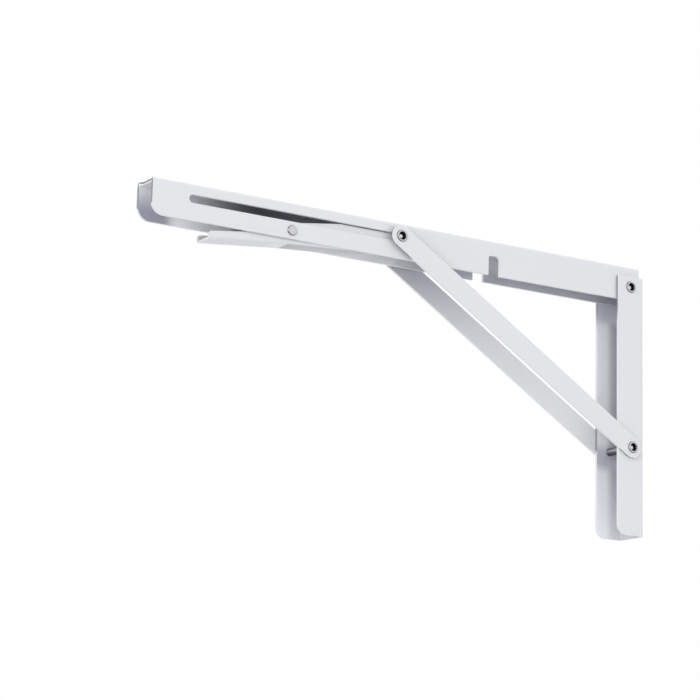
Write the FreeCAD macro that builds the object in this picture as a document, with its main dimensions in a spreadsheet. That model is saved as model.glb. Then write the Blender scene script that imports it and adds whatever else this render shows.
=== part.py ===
import FreeCAD, Part
import Sketcher
import math
import os

# Folding shelf bracket: a wall leg, a shelf arm hinged at its top, two strut bars whose upper
# pivot slides in the arm's slots, and a sprung release lever that locks that pivot.
# Millimetres, +Z up, wall plane at y = 0, the arm reaches towards -Y, width along X.
# The origin is the middle wall screw, on the wall plane.

doc = FreeCAD.newDocument("FoldingShelfBracket")
sizes = doc.addObject("Spreadsheet::Sheet", "Sizes")

SIZES = [
    # Wall leg: a channel open to the front
    ("leg_width", 27.0),
    ("leg_depth", 23.4),
    ("leg_height", 188.5),
    ("leg_sheet", 2.0),
    ("leg_corner", 8.0),
    ("bend_radius", 1.0),
    ("hinge_below_leg_top", 7.5),
    ("pivot_offset", 12.1),
    ("pivot_drop", 118.0),
    ("wall_hole", 5.5),
    ("wall_hole_spacing", 62.0),
    ("wall_hole_count", 3),
    # Shelf arm: a channel open downwards
    ("arm_reach", 400.0),
    ("arm_wall_gap", 2.5),
    ("arm_width", 21.6),
    ("arm_height", 25.0),
    ("arm_sheet", 2.0),
    ("hinge_below_arm_top", 15.7),
    ("arm_front_corner", 9.0),
    ("shelf_hole", 5.5),
    ("shelf_hole_start", 45.0),
    ("shelf_hole_spacing", 110.0),
    ("shelf_hole_count", 4),
    ("scoop_depth", 2.2),
    ("scoop_edge", 1.6),
    ("scoop_slope", 2.4),
    ("scoop_round", 1.5),
    # Slots that guide the upper pivot, and the notches that take the lower pivot when folded
    ("slot_width", 5.8),
    ("slot_above_hinge", 5.4),
    ("slot_front_reach", 358.0),
    ("slot_rest_play", 0.4),
    ("notch_ahead", 1.2),
    ("notch_clearance", 1.9),
    ("notch_above_hinge", 4.8),
    ("notch_round", 2.5),
    # Strut bars
    ("strut_reach", 199.5),
    ("bar_width", 15.0),
    ("bar_sheet", 2.0),
    ("bar_gap", 0.25),
    # Release lever, drawn about its own pivot
    ("lever_reach", 283.3),
    ("lever_below_hinge", 3.7),
    ("lever_sheet", 1.5),
    ("lever_bend", 0.6),
    ("lever_side_gap", 0.5),
    ("handle_length", 61.0),
    ("handle_tip_top", 9.5),
    ("handle_tip_bottom", 14.9),
    ("handle_tip_round", 2.5),
    ("shoulder_length", 32.7),
    ("shoulder_drop", 5.6),
    ("web_end", 0.7),
    ("web_end_drop", 8.6),
    ("plate_flush", 43.0),
    ("ramp_foot", 3.3),
    ("ramp_foot_rise", 6.3),
    ("ramp_top", 38.8),
    ("tail_rise", 11.5),
    ("lock_gap", 0.3),
    ("hook_length", 5.2),
    ("hook_rise", 2.9),
    # Rivets with a hole in each rolled end, bushes and the lever's pin
    ("rivet", 5.6),
    ("rivet_head", 8.4),
    ("rivet_crown", 6.6),
    ("crown_side", 7.9),
    ("crown_drop", 0.3),
    ("head_height", 0.9),
    ("rivet_hole", 4.6),
    ("rivet_hole_depth", 2.2),
    ("rivet_mouth", 5.6),
    ("mouth_depth", 0.7),
    ("bush_bore", 4.6),
    ("bush_shoulder", 9.0),
    ("bush_end_gap", 0.3),
    ("lever_pin", 4.0),
    ("lever_pin_head", 6.8),
    ("lever_pin_head_height", 0.9),
    ("lever_pin_head_bevel", 0.4),
    ("running_gap", 0.05),
    # Torsion spring round the lever's pin
    ("wire", 1.2),
    ("coil_gap", 0.6),
    ("coil_pitch", 1.35),
    ("coil_half_turns", 7),
    ("wire_sides", 8),
    ("wire_bend", 1.4),
    ("wire_hole", 1.6),
    ("arm_leg_length", 13.0),
    ("arm_leg_slope", 7.2),
    ("handle_leg_length", 24.0),
]

for row, (alias, value) in enumerate(SIZES, start=1):
    sizes.set(f"A{row}", alias)
    sizes.set(f"B{row}", str(value))
    sizes.setAlias(f"B{row}", alias)
doc.recompute()


def size(alias):
    return f"Sizes.{alias}"


def number(expression):
    """The value in millimetres of an expression over the sheet."""
    return float(sizes.evalExpression(expression))


# Lengths that more than one piece shares, as expressions over the sheet
HINGE_Z = f"({size('leg_height')} / 2 - {size('hinge_below_leg_top')})"
LEG_HALF = f"({size('leg_width')} / 2)"
LEG_INNER = f"({LEG_HALF} - {size('leg_sheet')})"
ARM_HALF = f"({size('arm_width')} / 2)"
ARM_INNER = f"({ARM_HALF} - {size('arm_sheet')})"
ARM_TOP = size("hinge_below_arm_top")
ARM_BOTTOM = f"({size('arm_height')} - {size('hinge_below_arm_top')})"
ARM_REAR = f"({size('pivot_offset')} - {size('arm_wall_gap')})"
ARM_FRONT = f"({size('arm_reach')} - {size('pivot_offset')})"
BAR_INNER = f"({LEG_HALF} + {size('bar_gap')})"
BAR_OUTER = f"({BAR_INNER} + {size('bar_sheet')})"
LEVER_HALF = f"({ARM_INNER} - {size('lever_side_gap')})"
LEVER_INNER = f"({LEVER_HALF} - {size('lever_sheet')})"
RIVET_BORE = f"({size('rivet')} / 2 + {size('running_gap')})"
PIN_BORE = f"({size('lever_pin')} / 2 + {size('running_gap')})"
STRUT_RISE = f"({size('pivot_drop')} + {size('slot_above_hinge')})"
STRUT_LENGTH = f"sqrt({size('strut_reach')} ^ 2 + {STRUT_RISE} ^ 2)"
COIL_RADIUS = f"({size('lever_pin')} / 2 + {size('coil_gap')} + {size('wire')} / 2)"
ARM_LEG_AHEAD = (f"({size('arm_leg_length')} * cos({size('arm_leg_slope')})"
                 f" - {COIL_RADIUS} * sin({size('arm_leg_slope')}))")
ARM_LEG_RISE = (f"({size('arm_leg_length')} * sin({size('arm_leg_slope')})"
                f" + {COIL_RADIUS} * cos({size('arm_leg_slope')}))")


def place(item, y="0", z="0"):
    """Puts a piece's own frame at a pivot, measured from the wall screw."""
    item.Placement = FreeCAD.Placement(FreeCAD.Vector(0, number(y), number(z)), FreeCAD.Rotation())
    item.setExpression("Placement.Base.y", y)
    item.setExpression("Placement.Base.z", z)


def new_body(label, y="0", z="0"):
    body = doc.addObject("PartDesign::Body", label)
    body.Label = label
    place(body, y, z)
    return body


def datum(body, role):
    """One of a body's own origin planes or axes."""
    return next(item for item in body.Origin.OriginFeatures if item.Role == role)


def new_sketch(body, name, plane, offset=None):
    sketch = body.newObject("Sketcher::SketchObject", name)
    sketch.AttachmentSupport = [(datum(body, plane), "")]
    sketch.MapMode = "FlatFace"
    if offset is not None:
        sketch.setExpression("AttachmentOffset.Base.z", offset)
    return sketch


def fix(sketch, element, vertex, x, y):
    """Holds one point of a sketch at expressions for its two coordinates."""
    for kind, expression in (("DistanceX", x), ("DistanceY", y)):
        constraint = Sketcher.Constraint(kind, -1, 1, element, vertex, number(expression))
        index = sketch.addConstraint(constraint)
        sketch.setExpression(f"Constraints[{index}]", expression)


def polygon(sketch, corners):
    """A closed outline of straight edges."""
    points = [FreeCAD.Vector(number(x), number(y), 0) for x, y in corners]
    first = len(sketch.Geometry)
    count = len(points)
    for index, start in enumerate(points):
        sketch.addGeometry(Part.LineSegment(start, points[(index + 1) % count]))
    for index in range(count):
        following = first + (index + 1) % count
        sketch.addConstraint(Sketcher.Constraint("Coincident", first + index, 2, following, 1))
    for index, (x, y) in enumerate(corners):
        fix(sketch, first + index, 1, x, y)


def circle(sketch, x, y, radius):
    centre = FreeCAD.Vector(number(x), number(y), 0)
    up = FreeCAD.Vector(0, 0, 1)
    item = sketch.addGeometry(Part.Circle(centre, up, number(radius)))
    fix(sketch, item, 3, x, y)
    index = sketch.addConstraint(Sketcher.Constraint("Radius", item, number(radius)))
    sketch.setExpression(f"Constraints[{index}]", radius)


def obround(sketch, start, end, radius):
    """A slot with full-round ends between two centres."""
    first_centre = FreeCAD.Vector(number(start[0]), number(start[1]), 0)
    last_centre = FreeCAD.Vector(number(end[0]), number(end[1]), 0)
    along = last_centre - first_centre
    turn = math.atan2(along.y, along.x)
    reach = number(radius)
    side = FreeCAD.Vector(-math.sin(turn), math.cos(turn), 0) * reach
    up = FreeCAD.Vector(0, 0, 1)
    quarter = math.pi / 2
    tail = sketch.addGeometry(Part.ArcOfCircle(
        Part.Circle(first_centre, up, reach), turn + quarter, turn + 3 * quarter))
    low = sketch.addGeometry(Part.LineSegment(first_centre - side, last_centre - side))
    nose = sketch.addGeometry(Part.ArcOfCircle(
        Part.Circle(last_centre, up, reach), turn - quarter, turn + quarter))
    high = sketch.addGeometry(Part.LineSegment(last_centre + side, first_centre + side))
    ring = [tail, low, nose, high]
    for index, item in enumerate(ring):
        following = ring[(index + 1) % 4]
        sketch.addConstraint(Sketcher.Constraint("Tangent", item, 2, following, 1))
    sketch.addConstraint(Sketcher.Constraint("Equal", tail, nose))
    fix(sketch, tail, 3, *start)
    fix(sketch, nose, 3, *end)
    index = sketch.addConstraint(Sketcher.Constraint("Radius", tail, reach))
    sketch.setExpression(f"Constraints[{index}]", radius)


def pad(body, name, sketch, length, middle=False):
    feature = body.newObject("PartDesign::Pad", name)
    feature.Profile = sketch
    feature.Midplane = middle
    feature.setExpression("Length", length)
    doc.recompute()
    return feature


def cut_through(body, name, sketch):
    """A pocket through the whole body, both ways from its sketch."""
    before = body.Shape.Volume
    feature = body.newObject("PartDesign::Pocket", name)
    feature.Profile = sketch
    feature.Midplane = True
    feature.Type = 1
    doc.recompute()
    assert body.Shape.Volume < before - 0.1, f"{name} removes nothing"
    return feature


def round_edges(body, name, radius, wanted):
    """Fillets the edges whose middle point and direction pass a test."""
    base = body.Tip
    names = []
    for index, edge in enumerate(base.Shape.Edges, start=1):
        middle = edge.valueAt((edge.FirstParameter + edge.LastParameter) / 2)
        direction = edge.tangentAt((edge.FirstParameter + edge.LastParameter) / 2)
        if wanted(middle, direction):
            names.append(f"Edge{index}")
    assert names, f"{name} finds no edge"
    feature = body.newObject("PartDesign::Fillet", name)
    feature.Base = (base, names)
    feature.setExpression("Radius", radius)
    doc.recompute()
    return feature


def near(value, expression):
    return abs(value - number(expression)) < 1e-3


def along(direction, axis):
    return abs(abs(getattr(direction, axis)) - 1) < 1e-6


def row_of_holes(body, name, cut, axis, count, spacing, backwards=False):
    """Repeats a hole in a straight row along one of the body's axes."""
    pattern = body.newObject("PartDesign::LinearPattern", name)
    pattern.Originals = [cut]
    pattern.Direction = (datum(body, axis), [""])
    pattern.Reversed = backwards
    pattern.setExpression("Length", f"({count} - 1) * {spacing}")
    pattern.setExpression("Occurrences", count)
    body.Tip = pattern
    doc.recompute()
    return pattern


def channel(sketch, half, inner, back, front, floor, upright):
    """A channel section: two flanges and the floor that joins them."""
    corners = [(f"-{half}", back), (f"-{half}", front), (f"-{inner}", front), (f"-{inner}", floor),
               (inner, floor), (inner, front), (half, front), (half, back)]
    polygon(sketch, corners if upright else corners[::-1])


def wall_leg():
    """Channel against the wall: its flanges stand out on both sides of the arm."""
    body = new_body("wall_leg")
    sheet = size("leg_sheet")
    front = f"-{size('leg_depth')}"
    bottom = f"-{size('leg_height')} / 2"
    section = new_sketch(body, "LegSection", "XY_Plane", bottom)
    channel(section, LEG_HALF, LEG_INNER, "0", front, f"-{sheet}", True)
    pad(body, "LegPad", section, size("leg_height"))
    round_edges(body, "LegOuterBends", f"{size('bend_radius')} + {sheet}",
                lambda p, d: along(d, "z") and near(p.y, "0"))
    round_edges(body, "LegInnerBends", size("bend_radius"),
                lambda p, d: along(d, "z") and near(p.y, f"-{sheet}"))
    round_edges(body, "LegBottomCorners", size("leg_corner"),
                lambda p, d: along(d, "x") and near(p.y, front) and p.z < 0)
    pivots = new_sketch(body, "LegPivotHoles", "YZ_Plane")
    out = f"-{size('pivot_offset')}"
    circle(pivots, out, HINGE_Z, RIVET_BORE)
    circle(pivots, out, f"{HINGE_Z} - {size('pivot_drop')}", RIVET_BORE)
    cut_through(body, "LegPivotCut", pivots)
    screw = new_sketch(body, "WallScrewHole", "XZ_Plane")
    lowest = f"-({size('wall_hole_count')} - 1) * {size('wall_hole_spacing')} / 2"
    circle(screw, "0", lowest, f"{size('wall_hole')} / 2")
    cut = cut_through(body, "WallScrewCut", screw)
    row_of_holes(body, "WallScrewRow", cut, "Z_Axis", size("wall_hole_count"), size("wall_hole_spacing"))
    return body


def shelf_arm():
    """Channel under the shelf, drawn about the hinge: slots, notches and a scooped front edge."""
    body = new_body("shelf_arm", f"-{size('pivot_offset')}", HINGE_Z)
    sheet = size("arm_sheet")
    bottom = f"-{ARM_BOTTOM}"
    section = new_sketch(body, "ArmSection", "XZ_Plane", f"-{ARM_REAR}")
    channel(section, ARM_HALF, ARM_INNER, ARM_TOP, bottom, f"{ARM_TOP} - {sheet}", False)
    pad(body, "ArmPad", section, f"{ARM_REAR} + {ARM_FRONT}")
    round_edges(body, "ArmOuterBends", f"{size('bend_radius')} + {sheet}",
                lambda p, d: along(d, "y") and near(p.z, ARM_TOP))
    round_edges(body, "ArmInnerBends", size("bend_radius"),
                lambda p, d: along(d, "y") and near(p.z, f"{ARM_TOP} - {sheet}"))
    round_edges(body, "ArmFrontCorners", size("arm_front_corner"),
                lambda p, d: along(d, "x") and near(p.z, bottom) and near(p.y, f"-{ARM_FRONT}"))
    # The rear corners swing past the leg's floor, so they are round about the hinge
    round_edges(body, "ArmRearCorners", f"min({ARM_BOTTOM}; {ARM_REAR}) - {size('running_gap')}",
                lambda p, d: along(d, "x") and near(p.z, bottom) and near(p.y, ARM_REAR))
    cuts = new_sketch(body, "ArmSideCuts", "YZ_Plane")
    circle(cuts, "0", "0", RIVET_BORE)
    circle(cuts, f"-{size('lever_reach')}", f"-{size('lever_below_hinge')}", PIN_BORE)
    level = size("slot_above_hinge")
    obround(cuts, (f"-{size('slot_front_reach')}", level),
            (f"-({size('strut_reach')} - {size('slot_rest_play')})", level), f"{size('slot_width')} / 2")
    cut_through(body, "ArmSideCut", cuts)
    notch = new_sketch(body, "ArmNotch", "YZ_Plane")
    half_notch = f"({size('rivet')} / 2 + {size('notch_clearance')})"
    notch_front = f"-({size('pivot_drop')} + {size('notch_ahead')} + {half_notch})"
    notch_rear = f"-({size('pivot_drop')} + {size('notch_ahead')} - {half_notch})"
    notch_top = size("notch_above_hinge")
    below = f"-{size('arm_height')}"
    polygon(notch, [(notch_front, below), (notch_rear, below),
                    (notch_rear, notch_top), (notch_front, notch_top)])
    cut_through(body, "ArmNotchCut", notch)
    round_edges(body, "ArmNotchRounds", size("notch_round"),
                lambda p, d: along(d, "x") and near(p.z, notch_top))
    # The left side alone has the small hole that holds the spring's bent end
    wire_hole = new_sketch(body, "SpringHole", "YZ_Plane")
    circle(wire_hole, f"-({size('lever_reach')} + {ARM_LEG_AHEAD})",
           f"{ARM_LEG_RISE} - {size('lever_below_hinge')}", f"{size('wire_hole')} / 2")
    hole = body.newObject("PartDesign::Pocket", "SpringHoleCut")
    hole.Profile = wire_hole
    hole.setExpression("Length", size("arm_width"))
    doc.recompute()
    # The web's front edge is scooped back between the two bends
    web_only = f"{ARM_TOP} - {sheet} - {size('bend_radius')}"
    scoop = new_sketch(body, "ArmScoop", "XY_Plane", web_only)
    mouth = f"({ARM_HALF} - {size('scoop_edge')})"
    floor = f"({mouth} - {size('scoop_slope')})"
    deep = f"-({ARM_FRONT} - {size('scoop_depth')})"
    clear = f"-({ARM_FRONT} + {size('scoop_depth')})"
    lip = f"-{ARM_FRONT}"
    polygon(scoop, [(f"-{mouth}", clear), (mouth, clear), (mouth, lip), (floor, deep),
                    (f"-{floor}", deep), (f"-{mouth}", lip)])
    cut = body.newObject("PartDesign::Pocket", "ArmScoopCut")
    cut.Profile = scoop
    cut.Reversed = True
    cut.setExpression("Length", size("arm_height"))
    doc.recompute()
    round_edges(body, "ArmScoopRounds", size("scoop_round"),
                lambda p, d: along(d, "z") and near(p.y, deep))
    screw = new_sketch(body, "ShelfScrewHole", "XY_Plane")
    first_hole = f"{size('pivot_offset')} - {size('shelf_hole_start')}"
    circle(screw, "0", first_hole, f"{size('shelf_hole')} / 2")
    hole = cut_through(body, "ShelfScrewCut", screw)
    row_of_holes(body, "ShelfScrewRow", hole, "Y_Axis", size("shelf_hole_count"),
                 size("shelf_hole_spacing"), backwards=True)
    return body


def release_lever():
    """Folded lever inside the arm: a handle channel in front, two hooked plates behind its pivot."""
    lever_y = f"-({size('pivot_offset')} + {size('lever_reach')})"
    body = new_body("release_lever", lever_y, f"{HINGE_Z} - {size('lever_below_hinge')}")
    sheet = size("lever_sheet")
    # The plates end just in front of the upper pivot and hook under it
    pin_ahead = f"({size('lever_reach')} - {size('strut_reach')})"
    face = f"({pin_ahead} - {size('rivet')} / 2 - {size('lock_gap')})"
    tip = f"({face} + {size('hook_length')})"
    pin_level = f"({size('slot_above_hinge')} + {size('lever_below_hinge')})"
    hook_top = f"({pin_level} - {size('rivet')} / 2 - {size('lock_gap')})"
    side = new_sketch(body, "LeverSide", "YZ_Plane")
    web_rear = (f"-{size('web_end')}", f"-{size('web_end_drop')}")
    web_tip = (f"-{size('handle_length')}", f"-{size('handle_tip_bottom')}")
    polygon(side, [
        web_rear, web_tip,
        (f"-{size('handle_length')}", f"-{size('handle_tip_top')}"),
        (f"-{size('shoulder_length')}", f"-{size('shoulder_drop')}"),
        (size("ramp_foot"), size("ramp_foot_rise")),
        (size("ramp_top"), size("tail_rise")),
        (face, size("tail_rise")),
        (face, hook_top),
        (tip, hook_top),
        (tip, size("hook_rise")),
        (size("plate_flush"), f"-({ARM_BOTTOM} - {size('lever_below_hinge')})"),
    ])
    pad(body, "LeverBlock", side, f"2 * {LEVER_HALF}", middle=True)

    run = f"({size('handle_length')} - {size('web_end')})"
    fall = f"({size('handle_tip_bottom')} - {size('web_end_drop')})"
    slope_length = f"sqrt({run} ^ 2 + {fall} ^ 2)"
    web_y = (number(web_rear[0]) + number(web_tip[0])) / 2
    web_z = (number(web_rear[1]) + number(web_tip[1])) / 2
    round_edges(body, "LeverOuterBends", f"{size('lever_bend')} + {sheet}",
                lambda p, d: math.hypot(p.y - web_y, p.z - web_z) < 0.1 and abs(d.x) < 0.1)
    round_edges(body, "HandleTip", size("handle_tip_round"),
                lambda p, d: along(d, "x") and near(p.y, web_tip[0])
                and near(p.z, f"-{size('handle_tip_top')}"))

    # What is left between the plates is only the handle's web
    rise = f"{sheet} * {slope_length} / {run}"
    inside = new_sketch(body, "LeverInside", "YZ_Plane")
    beyond = f"-({size('handle_length')} + {size('handle_tip_bottom')})"
    past = f"{size('handle_tip_bottom')} * {fall} / {run}"
    above = f"({size('tail_rise')} + {sheet})"
    polygon(inside, [
        (beyond, f"-{size('handle_tip_bottom')} + {rise} - {past}"),
        (f"-{size('web_end')}", f"-{size('web_end_drop')} + {rise}"),
        (f"-{size('web_end')}", f"-{size('handle_tip_bottom')}"),
        (f"{tip} + {sheet}", f"-{size('handle_tip_bottom')}"),
        (f"{tip} + {sheet}", above),
        (beyond, above),
    ])
    before = body.Shape.Volume
    hollow = body.newObject("PartDesign::Pocket", "LeverHollow")
    hollow.Profile = inside
    hollow.Midplane = True
    hollow.setExpression("Length", f"2 * {LEVER_INNER}")
    doc.recompute()
    assert body.Shape.Volume < before / 2, "the lever is not hollow"
    inner_z = web_z + number(rise)
    round_edges(body, "LeverInnerBends", size("lever_bend"),
                lambda p, d: math.hypot(p.y - web_y, p.z - inner_z) < 0.5
                and abs(d.x) < 0.1 and near(abs(p.x), LEVER_INNER))
    pin = new_sketch(body, "LeverPinHole", "YZ_Plane")
    circle(pin, "0", "0", PIN_BORE)
    cut_through(body, "LeverPinCut", pin)
    return body


def strut_bar(label, side):
    """Flat bar with full-round ends, from the lower pivot to the upper one."""
    body = new_body(label, f"-{size('pivot_offset')}", f"{HINGE_Z} - {size('pivot_drop')}")
    middle = f"({BAR_INNER} + {BAR_OUTER}) / 2"
    body.setExpression("Placement.Base.x", middle if side > 0 else f"-{middle}")
    body.Placement.Rotation = FreeCAD.Rotation(FreeCAD.Vector(-1, 0, 0), 1)
    body.setExpression("Placement.Rotation.Angle", f"atan({STRUT_RISE} / {size('strut_reach')})")
    outline = new_sketch(body, f"{label}_outline", "YZ_Plane")
    far = f"-{STRUT_LENGTH}"
    obround(outline, (far, "0"), ("0", "0"), f"{size('bar_width')} / 2")
    circle(outline, "0", "0", RIVET_BORE)
    circle(outline, far, "0", RIVET_BORE)
    pad(body, f"{label}_pad", outline, size("bar_sheet"), middle=True)
    return body


def turned(label, profile, y, z):
    """A piece turned about the X axis."""
    body = new_body(label, y, z)
    sketch = new_sketch(body, f"{label}_profile", "XY_Plane")
    polygon(sketch, profile)
    spin = body.newObject("PartDesign::Revolution", f"{label}_turned")
    spin.Profile = sketch
    spin.ReferenceAxis = (datum(body, "X_Axis"), [""])
    spin.Angle = 360
    doc.recompute()
    return body


def rolled_head(side, under_head):
    """The rolled end of a rivet, as outline points from the floor of its hole out to its shank."""
    sign = "" if side > 0 else "-"
    top = f"({under_head} + {size('head_height')})"
    return [
        (f"{sign}({top} - {size('rivet_hole_depth')})", "0"),
        (f"{sign}({top} - {size('rivet_hole_depth')})", f"{size('rivet_hole')} / 2"),
        (f"{sign}({top} - {size('mouth_depth')})", f"{size('rivet_hole')} / 2"),
        (f"{sign}{top}", f"{size('rivet_mouth')} / 2"),
        (f"{sign}{top}", f"{size('rivet_crown')} / 2"),
        (f"{sign}({top} - {size('crown_drop')})", f"{size('crown_side')} / 2"),
        (f"{sign}{under_head}", f"{size('rivet_head')} / 2"),
        (f"{sign}{under_head}", f"{size('rivet')} / 2"),
    ]


def long_rivet(label, under_head, y, z):
    """Long rivet through the whole width, rolled over at both ends."""
    profile = rolled_head(-1, under_head) + rolled_head(1, under_head)[::-1]
    return turned(label, profile, y, z)


def upper_rivet(label, side, y, z):
    """Rolled rivet end in a strut bar, at the pivot that slides."""
    sign = "" if side > 0 else "-"
    profile = rolled_head(side, BAR_OUTER)
    profile.append((f"{sign}{BAR_INNER}", f"{size('rivet')} / 2"))
    profile.append((f"{sign}{BAR_INNER}", "0"))
    return turned(label, profile, y, z)


def slide_bush(label, side, y, z):
    """Shouldered bush: its sleeve runs in the arm's slot, its shoulder fills the gap to the bar."""
    sign = "" if side > 0 else "-"
    inner_end = f"({LEVER_HALF} + {size('bush_end_gap')})"
    shoulder = f"({ARM_HALF} + {size('bush_end_gap')})"
    outer_end = f"({BAR_INNER} - {size('bush_end_gap')})"
    bore = f"{size('bush_bore')} / 2"
    sleeve = f"{size('rivet')} / 2"
    flange = f"{size('bush_shoulder')} / 2"
    profile = [(f"{sign}{inner_end}", bore), (f"{sign}{outer_end}", bore), (f"{sign}{outer_end}", flange),
               (f"{sign}{shoulder}", flange), (f"{sign}{shoulder}", sleeve), (f"{sign}{inner_end}", sleeve)]
    return turned(label, profile, y, z)


def lever_pin(y, z):
    """Solid pin through the arm and the lever, with low flat heads."""
    under = f"({ARM_HALF} + {size('running_gap')})"
    top = f"({under} + {size('lever_pin_head_height')})"
    shank = f"{size('lever_pin')} / 2"
    head = f"({size('lever_pin_head')} / 2)"
    side = f"({top} - {size('lever_pin_head_bevel')})"
    face = f"({head} - {size('lever_pin_head_bevel')})"
    profile = [(f"-{top}", "0"), (top, "0"), (top, face), (side, head), (under, head), (under, shank),
               (f"-{under}", shank), (f"-{under}", head), (f"-{side}", head), (f"-{top}", face)]
    return turned("lever_pin", profile, y, z)


def lever_spring(y, z):
    """Torsion spring: a coil round the pin, one leg on the handle's web, one hooked into the arm's side."""
    wire = number(size("wire"))
    mean = number(COIL_RADIUS)
    pitch = number(size("coil_pitch"))
    width = pitch * number(f"{size('coil_half_turns')} / 2 - {size('arm_leg_slope')} / 360")
    coil = Part.makeHelix(pitch, width, mean)
    # The coil's axis is turned from Z to X, and it starts at its lowest point
    coil.rotate(FreeCAD.Vector(), FreeCAD.Vector(0, 1, 0), 90)
    coil.translate(FreeCAD.Vector(-width / 2, 0, 0))
    start = coil.Edges[0].valueAt(coil.Edges[0].FirstParameter)
    end = coil.Edges[-1].valueAt(coil.Edges[-1].LastParameter)
    forward_low = coil.Edges[0].tangentAt(coil.Edges[0].FirstParameter) * -1
    # Both legs run forwards, one from below the coil and one from above it, under the slots
    foot = start + forward_low * number(size("handle_leg_length"))
    corner = FreeCAD.Vector(end.x, -number(ARM_LEG_AHEAD), number(ARM_LEG_RISE))
    forward_high = (corner - end).normalize()
    aside = FreeCAD.Vector(-1, 0, 0)
    bend = number(size("wire_bend"))
    bend_start = corner - forward_high * bend
    bend_end = corner + aside * bend
    bend_middle = bend_start + aside * bend + (forward_high - aside) * (bend / math.sqrt(2))
    tip = FreeCAD.Vector(-number(ARM_HALF), corner.y, corner.z)
    path = Part.Wire(
        [Part.LineSegment(foot, start).toShape()] + coil.Edges
        + [Part.LineSegment(end, bend_start).toShape(), Part.Arc(bend_start, bend_middle, bend_end).toShape(),
           Part.LineSegment(bend_end, tip).toShape()])
    sides = int(number(size("wire_sides")))
    across = forward_low.cross(FreeCAD.Vector(1, 0, 0)).normalize() * (wire / 2)
    corners = [foot + FreeCAD.Rotation(forward_low, 360 * step / sides).multVec(across)
               for step in range(sides)]
    section = Part.makePolygon(corners + corners[:1])
    spring = doc.addObject("Part::Feature", "lever_spring")
    spring.Label = "lever_spring"
    spring.Shape = Part.Solid(path.makePipeShell([section], True, True).Shells[0])
    place(spring, y, z)
    return spring


hinge_y = f"-{size('pivot_offset')}"
upper_y = f"-({size('pivot_offset')} + {size('strut_reach')})"
upper_z = f"{HINGE_Z} + {size('slot_above_hinge')}"
lower_z = f"{HINGE_Z} - {size('pivot_drop')}"
pin_y = f"-({size('pivot_offset')} + {size('lever_reach')})"
pin_z = f"{HINGE_Z} - {size('lever_below_hinge')}"

pieces = [
    wall_leg(),
    shelf_arm(),
    release_lever(),
    long_rivet("hinge_rivet", f"({LEG_HALF} + {size('running_gap')})", hinge_y, HINGE_Z),
    long_rivet("lower_rivet", f"({BAR_OUTER} + {size('running_gap')})", hinge_y, lower_z),
    lever_pin(pin_y, pin_z),
    lever_spring(pin_y, pin_z),
]
for side, name in ((-1, "left"), (1, "right")):
    pieces.append(strut_bar(f"strut_bar_{name}", side))
    pieces.append(upper_rivet(f"upper_rivet_{name}", side, upper_y, upper_z))
    pieces.append(slide_bush(f"slide_bush_{name}", side, upper_y, upper_z))

doc.recompute()

for item in doc.Objects:
    assert "Invalid" not in item.State and "Error" not in item.State, f"{item.Label} failed: {item.State}"
for piece in pieces:
    shape = piece.Shape
    assert not shape.isNull() and shape.isValid(), f"{piece.Label} has no valid shape"
    assert len(shape.Solids) == 1, f"{piece.Label} has {len(shape.Solids)} solids"

os.makedirs("parts", exist_ok=True)
for piece in pieces:
    piece.Shape.exportStep(f"parts/{piece.Label}.step")
    box = piece.Shape.BoundBox
    print(f"{piece.Label:18s} x {box.XMin:7.2f} {box.XMax:7.2f}  y {box.YMin:8.2f} {box.YMax:7.2f}  "
          f"z {box.ZMin:8.2f} {box.ZMax:7.2f}")
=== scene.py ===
import math
import bpy
import bmesh
from mathutils import Matrix, Vector


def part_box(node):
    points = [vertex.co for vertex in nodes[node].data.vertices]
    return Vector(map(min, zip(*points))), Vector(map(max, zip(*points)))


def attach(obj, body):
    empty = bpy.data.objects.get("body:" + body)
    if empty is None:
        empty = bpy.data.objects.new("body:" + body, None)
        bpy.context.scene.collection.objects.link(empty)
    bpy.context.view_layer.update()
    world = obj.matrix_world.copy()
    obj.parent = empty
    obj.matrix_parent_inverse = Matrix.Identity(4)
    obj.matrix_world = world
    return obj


# Folding shelf bracket: white powder coated sheet steel with bright rolled rivets,
# seen from in front and a little below, on a white background.

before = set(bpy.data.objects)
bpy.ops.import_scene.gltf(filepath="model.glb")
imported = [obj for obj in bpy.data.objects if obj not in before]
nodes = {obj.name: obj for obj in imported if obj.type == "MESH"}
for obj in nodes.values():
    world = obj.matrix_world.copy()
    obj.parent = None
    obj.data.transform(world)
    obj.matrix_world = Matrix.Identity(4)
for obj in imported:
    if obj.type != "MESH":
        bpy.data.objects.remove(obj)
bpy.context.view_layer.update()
scene = bpy.context.scene
print("frame loaded:", len(nodes), "pieces")

perMetre = 1000.0  # millimetres


def boxInMillimetres(name):
    low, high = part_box(name)
    return Vector(low) * perMetre, Vector(high) * perMetre


# Small helpers for node trees

def addNode(tree, kind, x, y, **settings):
    node = tree.nodes.new(kind)
    node.location = (x, y)
    for name, value in settings.items():
        setattr(node, name, value)
    return node


def link(tree, fromNode, output, toNode, socket):
    tree.links.new(fromNode.outputs[output], toNode.inputs[socket])


def newGroup(name, numbers, colours, results):
    group = bpy.data.node_groups.new(name, "ShaderNodeTree")
    for label, value in numbers.items():
        socket = group.interface.new_socket(label, in_out="INPUT", socket_type="NodeSocketFloat")
        socket.default_value = value
    for label, value in colours.items():
        socket = group.interface.new_socket(label, in_out="INPUT", socket_type="NodeSocketColor")
        socket.default_value = value
    for label, kind in results.items():
        group.interface.new_socket(label, in_out="OUTPUT", socket_type=kind)
    start = addNode(group, "NodeGroupInput", -1100, 0)
    end = addNode(group, "NodeGroupOutput", 900, 0)
    return group, start, end


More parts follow.
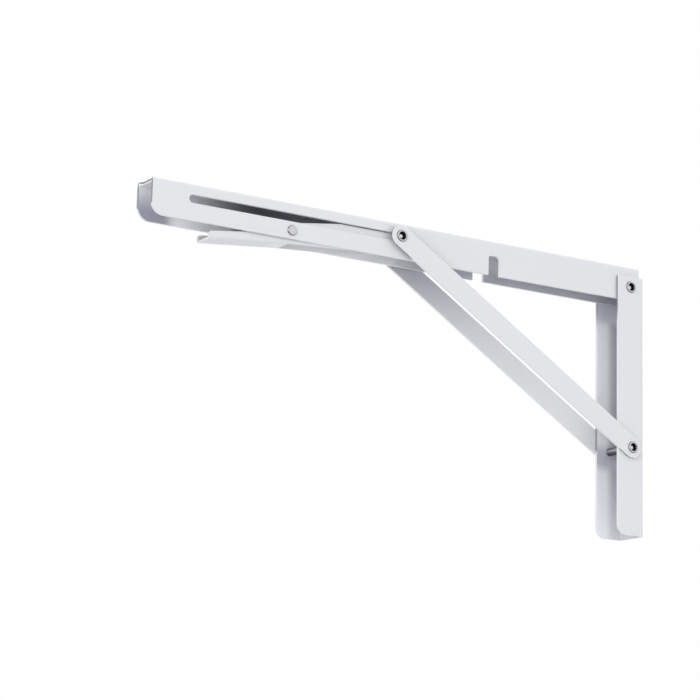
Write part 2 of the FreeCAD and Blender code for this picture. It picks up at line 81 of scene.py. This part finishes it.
# The place on the piece in millimetres, as separate numbers
def placeInMillimetres(tree):
    place = addNode(tree, "ShaderNodeTexCoord", -1100, 500)
    scaled = addNode(tree, "ShaderNodeVectorMath", -900, 500, operation="SCALE")
    scaled.inputs["Scale"].default_value = perMetre
    parts = addNode(tree, "ShaderNodeSeparateXYZ", -700, 500)
    link(tree, place, "Object", scaled, "Vector")
    link(tree, scaled, "Vector", parts, "Vector")
    return parts


# How far the place is from the middle of the bracket's width
def across(tree, parts):
    sideways = addNode(tree, "ShaderNodeMath", -500, 650, operation="ABSOLUTE")
    link(tree, parts, "X", sideways, 0)
    return sideways


noiseLow, noiseHigh = 0.3, 0.7  # where nearly all of the noise lies


# Grain that every finish shares: a fine height, a slow drift of the colour and of the roughness.
# Sizes are in millimetres on the piece.
def buildSurfaceGrain():
    group, start, end = newGroup(
        "surfaceGrain",
        {"Grain Size": 0.7, "Drift Size": 40.0, "Drift": 0.03,
         "Roughness Low": 0.35, "Roughness High": 0.45},
        {"Colour": (0.8, 0.8, 0.8, 1.0)},
        {"Colour": "NodeSocketColor", "Roughness": "NodeSocketFloat", "Height": "NodeSocketFloat"})
    place = addNode(group, "ShaderNodeTexCoord", -900, 400)
    noises = {}
    for label, x, detail in (("Grain Size", -400, 3.0), ("Drift Size", -100, 2.0)):
        repeats = addNode(group, "ShaderNodeMath", x - 200, 300, operation="DIVIDE")
        repeats.inputs[0].default_value = perMetre
        link(group, start, label, repeats, 1)
        noise = addNode(group, "ShaderNodeTexNoise", x, 300)
        noise.inputs["Detail"].default_value = detail
        link(group, place, "Object", noise, "Vector")
        link(group, repeats, "Value", noise, "Scale")
        noises[label] = noise
    rough = addNode(group, "ShaderNodeMapRange", 300, 0)
    rough.inputs["From Min"].default_value = noiseLow
    rough.inputs["From Max"].default_value = noiseHigh
    link(group, noises["Drift Size"], "Fac", rough, "Value")
    link(group, start, "Roughness Low", rough, "To Min")
    link(group, start, "Roughness High", rough, "To Max")
    # The colour moves a little either side of the one given
    shade = addNode(group, "ShaderNodeMath", 100, -250, operation="SUBTRACT")
    shade.inputs[1].default_value = 0.5
    link(group, noises["Drift Size"], "Fac", shade, 0)
    amount = addNode(group, "ShaderNodeMath", 300, -250, operation="MULTIPLY_ADD")
    amount.inputs[2].default_value = 1.0
    link(group, shade, "Value", amount, 0)
    link(group, start, "Drift", amount, 1)
    tint = addNode(group, "ShaderNodeVectorMath", 500, -250, operation="SCALE")
    link(group, start, "Colour", tint, "Vector")
    link(group, amount, "Value", tint, "Scale")
    link(group, tint, "Vector", end, "Colour")
    link(group, rough, "Result", end, "Roughness")
    link(group, noises["Grain Size"], "Fac", end, "Height")
    return group


# A place where the coat's colour is made paler or darker, as painted light and painted shade inside the
# channels and on the cut edges. It rises and falls along Y and along Z.
def buildPaintedLightAndShade():
    slopes = (("Y", "Y Start", "Y Full"), ("Y", "Y Last", "Y End"),
              ("Z", "Z Start", "Z Full"), ("Z", "Z Last", "Z End"))
    group, start, end = newGroup(
        "paintedLightAndShade",
        {"Inner Half": 9.0, **{label: 0.0 for slope in slopes for label in slope[1:]}},
        {"Colour": (0.8, 0.8, 0.8, 1.0), "Painted Colour": (0.3, 0.3, 0.32, 1.0)},
        {"Colour": "NodeSocketColor"})
    parts = placeInMillimetres(group)
    amount = addNode(group, "ShaderNodeMath", -300, 650, operation="LESS_THAN")
    link(group, across(group, parts), "Value", amount, 0)
    link(group, start, "Inner Half", amount, 1)
    for row, (axis, nothing, full) in enumerate(slopes):
        ramp = addNode(group, "ShaderNodeMapRange", -300, 300 - 300 * row,
                       interpolation_type="SMOOTHSTEP")
        link(group, parts, axis, ramp, "Value")
        link(group, start, nothing, ramp, "From Min")
        link(group, start, full, ramp, "From Max")
        product = addNode(group, "ShaderNodeMath", -50 + 160 * row, 400, operation="MULTIPLY")
        link(group, amount, "Value", product, 0)
        link(group, ramp, "Result", product, 1)
        amount = product
    blend = addNode(group, "ShaderNodeMix", 650, 100, data_type="RGBA")
    link(group, amount, "Value", blend, 0)
    link(group, start, "Colour", blend, 6)
    link(group, start, "Painted Colour", blend, 7)
    link(group, blend, 2, end, "Colour")
    return group


# Painted shade on a rivet's head: a darker rim, and a darker wall of the hole in its rolled end. Its
# shank has a painted reflection, bright along the middle and dark above and below.
def buildPaintedHeadShade():
    group, start, end = newGroup(
        "paintedHeadShade",
        {"Centre Y": 0.0, "Centre Z": 0.0, "Head Radius": 4.2, "Head Start": 14.0, "Hole": 1.0},
        {"Colour": (0.8, 0.8, 0.8, 1.0)},
        {"Colour": "NodeSocketColor"})
    parts = placeInMillimetres(group)
    centre = addNode(group, "ShaderNodeCombineXYZ", -700, 250)
    link(group, start, "Centre Y", centre, "Y")
    link(group, start, "Centre Z", centre, "Z")
    flat = addNode(group, "ShaderNodeCombineXYZ", -500, 400)
    link(group, parts, "Y", flat, "Y")
    link(group, parts, "Z", flat, "Z")
    distance = addNode(group, "ShaderNodeVectorMath", -300, 350, operation="DISTANCE")
    link(group, flat, "Vector", distance, 0)
    link(group, centre, "Vector", distance, 1)
    share = addNode(group, "ShaderNodeMath", -100, 350, operation="DIVIDE")
    link(group, distance, "Value", share, 0)
    link(group, start, "Head Radius", share, 1)
    # Up or down from the shank's middle, as a share of the head's radius
    upDown = addNode(group, "ShaderNodeMath", -500, 900, operation="SUBTRACT")
    link(group, parts, "Z", upDown, 0)
    link(group, start, "Centre Z", upDown, 1)
    rise = addNode(group, "ShaderNodeMath", -300, 900, operation="ABSOLUTE")
    link(group, upDown, "Value", rise, 0)
    riseShare = addNode(group, "ShaderNodeMath", -100, 900, operation="DIVIDE")
    link(group, rise, "Value", riseShare, 0)
    link(group, start, "Head Radius", riseShare, 1)
    # Painted shade on the hole's wall and the rim, and the shank's painted reflection
    rings = {
        "hole": (share, ((0.0, 1.0), (0.22, 1.0), (0.34, 0.06), (0.68, 0.06), (0.75, 1.0))),
        "rim": (share, ((0.0, 1.0), (0.82, 1.0), (0.9, 0.42), (1.0, 0.3))),
        "shank": (riseShare, ((0.0, 0.85), (0.16, 0.8), (0.32, 0.32), (0.5, 0.25), (0.64, 0.08))),
    }
    ramps = {}
    for row, (ringName, (measure, stops)) in enumerate(rings.items()):
        ramp = addNode(group, "ShaderNodeValToRGB", 100, 350 - 300 * row)
        elements = ramp.color_ramp.elements
        elements.remove(elements[1])
        for position, grey in stops:
            element = elements[0] if position == 0 else elements.new(position)
            element.color = (grey, grey, grey, 1.0)
        link(group, measure, "Value", ramp, "Fac")
        ramps[ringName] = ramp
    # No hole leaves the head plain, and the shank behind the head has levels of its own
    holeLevel = addNode(group, "ShaderNodeMapRange", 400, 400)
    link(group, start, "Hole", holeLevel, "Value")
    holeLevel.inputs["To Min"].default_value = 1.0
    link(group, ramps["hole"], "Color", holeLevel, "To Max")
    both = addNode(group, "ShaderNodeMath", 600, 300, operation="MULTIPLY")
    link(group, holeLevel, "Result", both, 0)
    link(group, ramps["rim"], "Color", both, 1)
    onHead = addNode(group, "ShaderNodeMath", -300, 650, operation="GREATER_THAN")
    link(group, across(group, parts), "Value", onHead, 0)
    link(group, start, "Head Start", onHead, 1)
    level = addNode(group, "ShaderNodeMapRange", 600, 600)
    link(group, onHead, "Value", level, "Value")
    link(group, ramps["shank"], "Color", level, "To Min")
    link(group, both, "Value", level, "To Max")
    tint = addNode(group, "ShaderNodeVectorMath", 750, 100, operation="SCALE")
    link(group, start, "Colour", tint, "Vector")
    link(group, level, "Result", tint, "Scale")
    link(group, tint, "Vector", end, "Colour")
    return group


surfaceGrain = buildSurfaceGrain()
paintedLightAndShade = buildPaintedLightAndShade()
paintedHeadShade = buildPaintedHeadShade()


# One material for each finish; effects are groups that change the colour by the place on the piece
def buildFinish(name, look, effects=()):
    material = bpy.data.materials.new(name)
    material.use_nodes = True
    tree = material.node_tree
    shader = tree.nodes["Principled BSDF"]
    shader.location = (300, 0)
    for socket, value in look["shader"].items():
        shader.inputs[socket].default_value = value
    grain = addNode(tree, "ShaderNodeGroup", -1000, 0, node_tree=surfaceGrain)
    grain.inputs["Colour"].default_value = (*look["colour"], 1.0)
    for socket, value in look["grain"].items():
        grain.inputs[socket].default_value = value
    bump = addNode(tree, "ShaderNodeBump", 50, -250)
    bump.inputs["Strength"].default_value = look["bumpStrength"]
    bump.inputs["Distance"].default_value = look["bumpHeight"] / perMetre
    colourFrom = grain
    for column, (effect, values) in enumerate(effects):
        following = addNode(tree, "ShaderNodeGroup", -750 + 220 * column, 150, node_tree=effect)
        for socket, value in values.items():
            following.inputs[socket].default_value = value
        link(tree, colourFrom, "Colour", following, "Colour")
        colourFrom = following
    link(tree, colourFrom, "Colour", shader, "Base Color")
    link(tree, grain, "Roughness", shader, "Roughness")
    link(tree, grain, "Height", bump, "Height")
    link(tree, bump, "Normal", shader, "Normal")
    material.diffuse_color = (*look["colour"], 1.0)
    return material


def paint(piece, material):
    for materialSlot in piece.material_slots:
        materialSlot.material = material


looks = {
    "whitePowderCoat": {
        "colour": (0.765, 0.775, 0.79),
        "grain": {"Grain Size": 0.8, "Drift Size": 45.0, "Drift": 0.03, "Roughness Low": 0.38,
                  "Roughness High": 0.46},
        "bumpStrength": 0.25, "bumpHeight": 0.03,
        "shader": {"IOR": 1.5, "Coat Weight": 0.15, "Coat Roughness": 0.3},
    },
    "platedRivet": {
        "colour": (0.7, 0.7, 0.71),
        "grain": {"Grain Size": 0.5, "Drift Size": 4.0, "Drift": 0.12, "Roughness Low": 0.16,
                  "Roughness High": 0.26},
        "bumpStrength": 0.15, "bumpHeight": 0.01,
        "shader": {"Metallic": 1.0},
    },
    "dullPin": {
        "colour": (0.56, 0.56, 0.57),
        "grain": {"Grain Size": 0.4, "Drift Size": 3.0, "Drift": 0.2, "Roughness Low": 0.2,
                  "Roughness High": 0.32},
        "bumpStrength": 0.25, "bumpHeight": 0.02,
        "shader": {"Metallic": 1.0},
    },
    "plainSteelBush": {
        "colour": (0.45, 0.45, 0.46),
        "grain": {"Grain Size": 0.4, "Drift Size": 5.0, "Drift": 0.15, "Roughness Low": 0.3,
                  "Roughness High": 0.42},
        "bumpStrength": 0.2, "bumpHeight": 0.01,
        "shader": {"Metallic": 1.0},
    },
    "springWire": {
        "colour": (0.2, 0.2, 0.21),
        "grain": {"Grain Size": 0.3, "Drift Size": 3.0, "Drift": 0.2, "Roughness Low": 0.3,
                  "Roughness High": 0.45},
        "bumpStrength": 0.2, "bumpHeight": 0.01,
        "shader": {"Metallic": 1.0},
    },
}

# White sheet pieces, and the places on their insides and cut edges where light or shade is painted into
# the coat's colour. A place is given from the piece's front and bottom in millimetres, as (none, full,
# full, none) along each.
# Its skin, from the piece's outer sides inwards, stays plain: the sheet, or less on a cut edge.
# A later place covers an earlier one.
# A paler colour paints light onto faces inside the channels; a dark colour paints contact shadows onto
# cut edges.
paintedLight = (0.93, 0.935, 0.95)
paintedEdgeShade = (0.2, 0.2, 0.23)
anywhere = (-2.0, -1.0, 401.0, 402.0)  # past both ends of every piece

# Painted shade on the strut bars: dark cut edges where a bar crosses the arm and the leg stand in for
# contact shadows, and the inner face under the arm is darker; painted light makes the foot paler.
barPaintedShade = {
    "edgeOnArm": {"skin": 1.0, "fromFront": anywhere, "fromBottom": (115.5, 118.0, 401.0, 402.0),
                  "colour": paintedEdgeShade},
    "edgeOnLeg": {"skin": 1.0, "fromFront": (195.0, 197.5, 401.0, 402.0), "fromBottom": anywhere,
                  "colour": paintedEdgeShade},
    "underArm": {"skin": 2.0, "fromFront": anywhere, "fromBottom": (50.0, 125.0, 401.0, 402.0),
                 "colour": (0.55, 0.555, 0.6)},
    "atFoot": {"skin": 2.0, "fromFront": anywhere, "fromBottom": (-2.0, -1.0, 20.0, 60.0),
               "colour": (0.85, 0.86, 0.87)},
}
# Painted shade in the arm's channel around the slots, beside the handle, at the tip and towards the
# hinge, and painted light below the slots. The front cut edge and the web's front lip are made darker.
armPaintedLightAndShade = {
    "aroundSlots": {"skin": 2.0, "fromFront": (28.0, 92.0, 170.0, 205.0),
                    "fromBottom": (9.0, 14.0, 23.2, 23.4), "colour": (0.19, 0.195, 0.225)},
    "belowSlots": {"skin": 2.0, "fromFront": (10.0, 28.0, 195.0, 205.0),
                   "fromBottom": (-2.0, -1.0, 4.0, 8.0), "colour": paintedLight},
    "besideHandle": {"skin": 2.0, "fromFront": (66.0, 76.0, 100.0, 125.0),
                     "fromBottom": (-2.0, -1.0, 7.0, 10.0), "colour": (0.25, 0.25, 0.27)},
    "atTip": {"skin": 2.0, "fromFront": (-2.0, -1.0, 18.0, 29.0),
              "fromBottom": (-2.0, -1.0, 4.0, 22.0), "colour": (0.37, 0.37, 0.45)},
    "frontEdge": {"skin": 0.0, "fromFront": (-2.0, -1.0, 0.1, 0.3), "fromBottom": anywhere,
                  "colour": (0.26, 0.26, 0.29)},
    "lipEdge": {"skin": 2.0, "fromFront": (-2.0, -1.0, 2.3, 2.5),
                "fromBottom": (23.8, 24.1, 401.0, 402.0), "colour": (0.1, 0.1, 0.12)},
    "towardsHinge": {"skin": 2.0, "fromFront": (205.0, 235.0, 401.0, 402.0),
                     "fromBottom": (-2.0, -1.0, 5.0, 12.0), "colour": (0.55, 0.56, 0.61)},
}
# Painted light along the front of the leg's inside, and painted shade deep in the channel, on its floor,
# under the arm and round the lower pivot; dark cut edges on the flanges' front where the arm and the bar
# cross stand in for contact shadows.
legPaintedLightAndShade = {
    "alongFront": {"skin": 2.0, "fromFront": (-2.0, -1.0, 7.0, 15.0), "fromBottom": anywhere,
                   "colour": paintedLight},
    "alongBack": {"skin": 2.0, "fromFront": (8.0, 17.0, 19.0, 21.4),
                  "fromBottom": (-25.0, 62.0, 401.0, 402.0), "colour": (0.46, 0.47, 0.54)},
    "floorInside": {"skin": 2.0, "fromFront": (19.0, 21.2, 21.7, 21.9), "fromBottom": anywhere,
                    "colour": (0.6, 0.605, 0.64)},
    "underArm": {"skin": 2.0, "fromFront": (-2.0, -1.0, 21.7, 21.9),
                 "fromBottom": (155.0, 161.5, 401.0, 402.0), "colour": (0.72, 0.725, 0.78)},
    "roundPivot": {"skin": 2.0, "fromFront": (-2.0, -1.0, 21.7, 21.9),
                   "fromBottom": (46.0, 55.0, 61.0, 70.0), "colour": (0.59, 0.595, 0.65)},
    "edgeOnArm": {"skin": 1.0, "fromFront": (-2.0, -1.0, 0.1, 0.3),
                  "fromBottom": (150.0, 168.0, 401.0, 402.0), "colour": paintedEdgeShade},
    "edgeOnBar": {"skin": 0.0, "fromFront": (-2.0, -1.0, 0.1, 0.3),
                  "fromBottom": (61.0, 64.0, 78.0, 81.0), "colour": (0.3, 0.3, 0.33)},
}
# Painted light inside the release lever.
leverPaintedLight = {
    "inside": {"skin": 1.5, "fromFront": (40.0, 75.0, 401.0, 402.0), "fromBottom": anywhere,
               "colour": paintedLight},
}
skinMargin = 0.1  # millimetres, so that an inner face counts as inside

# Each piece gets its powder coat with its painted light and shade on top.
paintedPlacesOfPieces = {"shelf_arm": armPaintedLightAndShade, "wall_leg": legPaintedLightAndShade, "release_lever": leverPaintedLight,
         "strut_bar_left": barPaintedShade, "strut_bar_right": barPaintedShade}
for name, paintedPlacesOfPiece in paintedPlacesOfPieces.items():
    low, high = boxInMillimetres(name)
    effects = []
    for place in paintedPlacesOfPiece.values():
        values = {"Inner Half": max(high.x, -low.x) - place["skin"] + skinMargin,
                  "Painted Colour": (*place["colour"], 1.0)}
        for axis, bottom, limits in (("Y", low.y, place["fromFront"]), ("Z", low.z, place["fromBottom"])):
            for ending, limit in zip(("Start", "Full", "End", "Last"), limits):
                values[f"{axis} {ending}"] = bottom + limit
        effects.append((paintedLightAndShade, values))
    paint(nodes[name], buildFinish(f"{name}Coat", looks["whitePowderCoat"], effects))

# Rivets and the lever's pin: how deep the head's painted shade goes in millimetres, and how far the
# painted shade of a hole shows in its end
rolledEnd = {"look": "platedRivet", "depth": 2.4, "hole": 1.0}
headLooks = {
    "hinge_rivet": rolledEnd, "lower_rivet": rolledEnd,
    "upper_rivet_left": rolledEnd, "upper_rivet_right": rolledEnd,
    "lever_pin": {"look": "dullPin", "depth": 1.0, "hole": 0.15},
}
for name, head in headLooks.items():
    low, high = boxInMillimetres(name)
    centre = (low + high) / 2
    paint(nodes[name], buildFinish(f"{name}Steel", looks[head["look"]], [(paintedHeadShade, {
        "Centre Y": centre.y, "Centre Z": centre.z, "Head Radius": (high.z - low.z) / 2,
        "Head Start": max(high.x, -low.x) - head["depth"], "Hole": head["hole"],
    })]))

bushSteel = buildFinish("plainSteelBush", looks["plainSteelBush"])
for name in ("slide_bush_left", "slide_bush_right"):
    paint(nodes[name], bushSteel)
paint(nodes["lever_spring"], buildFinish("springWire", looks["springWire"]))
print("finishes on:", len(nodes), "pieces")

# The sliding pivot's shank, seen from below between the arm's two sides, in millimetres. A thinner
# neck at each end goes into the bush.
pivotShank = {"radius": 2.8, "neckRadius": 2.2, "sideGap": 0.1, "segments": 48}
sideCorners = 4


def buildPivotShank(setup):
    leftLow, leftHigh = boxInMillimetres("slide_bush_left")
    half = -leftHigh.x - setup["sideGap"]
    centre = (leftLow + leftHigh) / 2
    bm = bmesh.new()
    bmesh.ops.create_cone(bm, cap_ends=True, segments=setup["segments"], radius1=setup["radius"],
                          radius2=setup["radius"], depth=2 * half)
    caps = [face for face in bm.faces if len(face.verts) > sideCorners]
    for face in caps:
        bmesh.ops.inset_region(bm, faces=[face], thickness=setup["radius"] - setup["neckRadius"])
        grown = bmesh.ops.extrude_face_region(bm, geom=[face])
        bmesh.ops.delete(bm, geom=[face], context="FACES_ONLY")
        ends = [item for item in grown["geom"] if isinstance(item, bmesh.types.BMVert)]
        reach = math.copysign(-leftLow.x - half - setup["sideGap"], ends[0].co.z)
        bmesh.ops.translate(bm, verts=ends, vec=(0, 0, reach))
    bmesh.ops.rotate(bm, verts=bm.verts, matrix=Matrix.Rotation(math.pi / 2, 3, "Y"))
    bmesh.ops.translate(bm, verts=bm.verts, vec=(0, centre.y, centre.z))
    bmesh.ops.scale(bm, verts=bm.verts, vec=(1 / perMetre, 1 / perMetre, 1 / perMetre))
    bmesh.ops.recalc_face_normals(bm, faces=bm.faces)
    for face in bm.faces:
        face.smooth = len(face.verts) == sideCorners
    mesh = bpy.data.meshes.new("pivotShank")
    bm.to_mesh(mesh)
    bm.free()
    mesh.materials.append(bushSteel)
    shank = bpy.data.objects.new("pivotShank", mesh)
    scene.collection.objects.link(shank)
    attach(shank, "slide_group")


buildPivotShank(pivotShank)
print("pivot shank added")

# Sheet edges lose their sharp corners, so they catch the light
edgeRound = {
    "joinWithin": 0.001, "width": 0.2,  # millimetres
    "segments": 2,
    "angle": 40.0,  # degrees
    "flatWeight": 100,
}
for name in ("wall_leg", "shelf_arm", "release_lever"):
    weld = nodes[name].modifiers.new("joinTriangles", "WELD")
    weld.merge_threshold = edgeRound["joinWithin"] / perMetre
    rounding = nodes[name].modifiers.new("edgeRound", "BEVEL")
    rounding.width = edgeRound["width"] / perMetre
    rounding.segments = edgeRound["segments"]
    rounding.limit_method = "ANGLE"
    rounding.angle_limit = math.radians(edgeRound["angle"])
    rounding.use_clamp_overlap = True
    flat = nodes[name].modifiers.new("flatFaces", "WEIGHTED_NORMAL")
    flat.weight = edgeRound["flatWeight"]
print("edges rounded")


# Camera at the photograph's angle
cameraSetup = {
    "azimuth": 57.107, "elevation": -12.712, "roll": 1.175,  # degrees
    "aim": (0.0, -0.2, 0.02675), "distance": 1.682985,  # metres
    "focalPixels": 2464.52, "centreX": 401.81, "centreY": 335.71, "imagePixels": 700,
    "sensor": 36.0,  # millimetres
    "nearest": 0.05, "farthest": 50.0,  # metres
}


def placeCamera(setup):
    data = bpy.data.cameras.new("photoCamera")
    camera = bpy.data.objects.new("photoCamera", data)
    scene.collection.objects.link(camera)
    azimuth, elevation, roll = (math.radians(setup[key]) for key in ("azimuth", "elevation", "roll"))
    back = Vector((math.sin(azimuth) * math.cos(elevation), -math.cos(azimuth) * math.cos(elevation),
                   math.sin(elevation)))
    level = Vector((math.cos(azimuth), math.sin(azimuth), 0.0))
    upright = back.cross(level)
    right = level * math.cos(roll) + upright * math.sin(roll)
    up = upright * math.cos(roll) - level * math.sin(roll)
    turn = Matrix((right, up, back)).transposed()
    place = Vector(setup["aim"]) + back * setup["distance"]
    camera.matrix_world = Matrix.Translation(place) @ turn.to_4x4()
    data.sensor_width = setup["sensor"]
    data.lens = setup["focalPixels"] / setup["imagePixels"] * data.sensor_width
    half = setup["imagePixels"] / 2
    data.shift_x = (half - setup["centreX"]) / setup["imagePixels"]
    data.shift_y = (setup["centreY"] - half) / setup["imagePixels"]
    data.clip_start = setup["nearest"]
    data.clip_end = setup["farthest"]
    scene.camera = camera


placeCamera(cameraSetup)

# Pale floor under the bracket, in metres
floorSetup = {"height": -0.9, "size": 30.0, "colour": (0.93, 0.93, 0.935), "roughness": 0.9}


def buildFloor(setup):
    bm = bmesh.new()
    bmesh.ops.create_grid(bm, x_segments=1, y_segments=1, size=setup["size"] / 2)
    bmesh.ops.translate(bm, verts=bm.verts, vec=(0, 0, setup["height"]))
    mesh = bpy.data.meshes.new("studioFloor")
    bm.to_mesh(mesh)
    bm.free()
    paper = bpy.data.materials.new("studioFloor")
    paper.use_nodes = True
    shader = paper.node_tree.nodes["Principled BSDF"]
    shader.inputs["Base Color"].default_value = (*setup["colour"], 1.0)
    shader.inputs["Roughness"].default_value = setup["roughness"]
    mesh.materials.append(paper)
    floor = bpy.data.objects.new("studioFloor", mesh)
    scene.collection.objects.link(floor)


buildFloor(floorSetup)

# The surround is white to the camera and in reflections, and a softer light on everything else
worldSetup = {"light": (0.98, 0.98, 1.0), "strength": 0.82, "shown": (1.0, 1.0, 1.0)}


def buildWorld(setup):
    world = bpy.data.worlds.new("studioWorld")
    scene.world = world
    world.use_nodes = True
    sky = world.node_tree
    sky.nodes.clear()
    ambient = addNode(sky, "ShaderNodeBackground", -200, 100)
    ambient.inputs["Color"].default_value = (*setup["light"], 1.0)
    ambient.inputs["Strength"].default_value = setup["strength"]
    seen = addNode(sky, "ShaderNodeBackground", -200, -50)
    seen.inputs["Color"].default_value = (*setup["shown"], 1.0)
    path = addNode(sky, "ShaderNodeLightPath", -700, 300)
    mirrored = addNode(sky, "ShaderNodeMath", -450, 300, operation="MAXIMUM")
    shown = addNode(sky, "ShaderNodeMath", -300, 300, operation="MAXIMUM")
    blend = addNode(sky, "ShaderNodeMixShader", 50, 50)
    out = addNode(sky, "ShaderNodeOutputWorld", 250, 50)
    link(sky, path, "Is Camera Ray", mirrored, 0)
    link(sky, path, "Is Glossy Ray", mirrored, 1)
    link(sky, mirrored, "Value", shown, 0)
    link(sky, path, "Is Transmission Ray", shown, 1)
    link(sky, shown, "Value", blend, 0)
    link(sky, ambient, "Background", blend, 1)
    link(sky, seen, "Background", blend, 2)
    link(sky, blend, "Shader", out, "Surface")


buildWorld(worldSetup)

# Soft lamps, unseen by the camera: power in watts, places and sizes in metres, spread in degrees
lamps = {
    "sideSoftbox": {"at": (1.7, 0.1, 0.2), "towards": (0.0, -0.1, 0.0),
                    "power": 2.0, "size": 1.2, "spread": 180},
    "frontSoftbox": {"at": (1.4, -3.2, 0.7), "towards": (0.0, -0.1, 0.0),
                     "power": 4.5, "size": 1.5, "spread": 60},
    "topSoftbox": {"at": (-0.2, -0.4, 1.6), "towards": (0.0, -0.2, 0.03),
                   "power": 3.0, "size": 1.2, "spread": 180},
}
for name, setup in lamps.items():
    data = bpy.data.lights.new(name, "AREA")
    data.shape = "SQUARE"
    data.size = setup["size"]
    data.energy = setup["power"]
    data.spread = math.radians(setup["spread"])
    lamp = bpy.data.objects.new(name, data)
    aim = Vector(setup["towards"]) - Vector(setup["at"])
    turn = aim.to_track_quat("-Z", "Y").to_matrix().to_4x4()
    lamp.matrix_world = Matrix.Translation(setup["at"]) @ turn
    lamp.visible_camera = False
    scene.collection.objects.link(lamp)
print("stage, lamps and camera placed")

scene.view_settings.view_transform = "Standard"
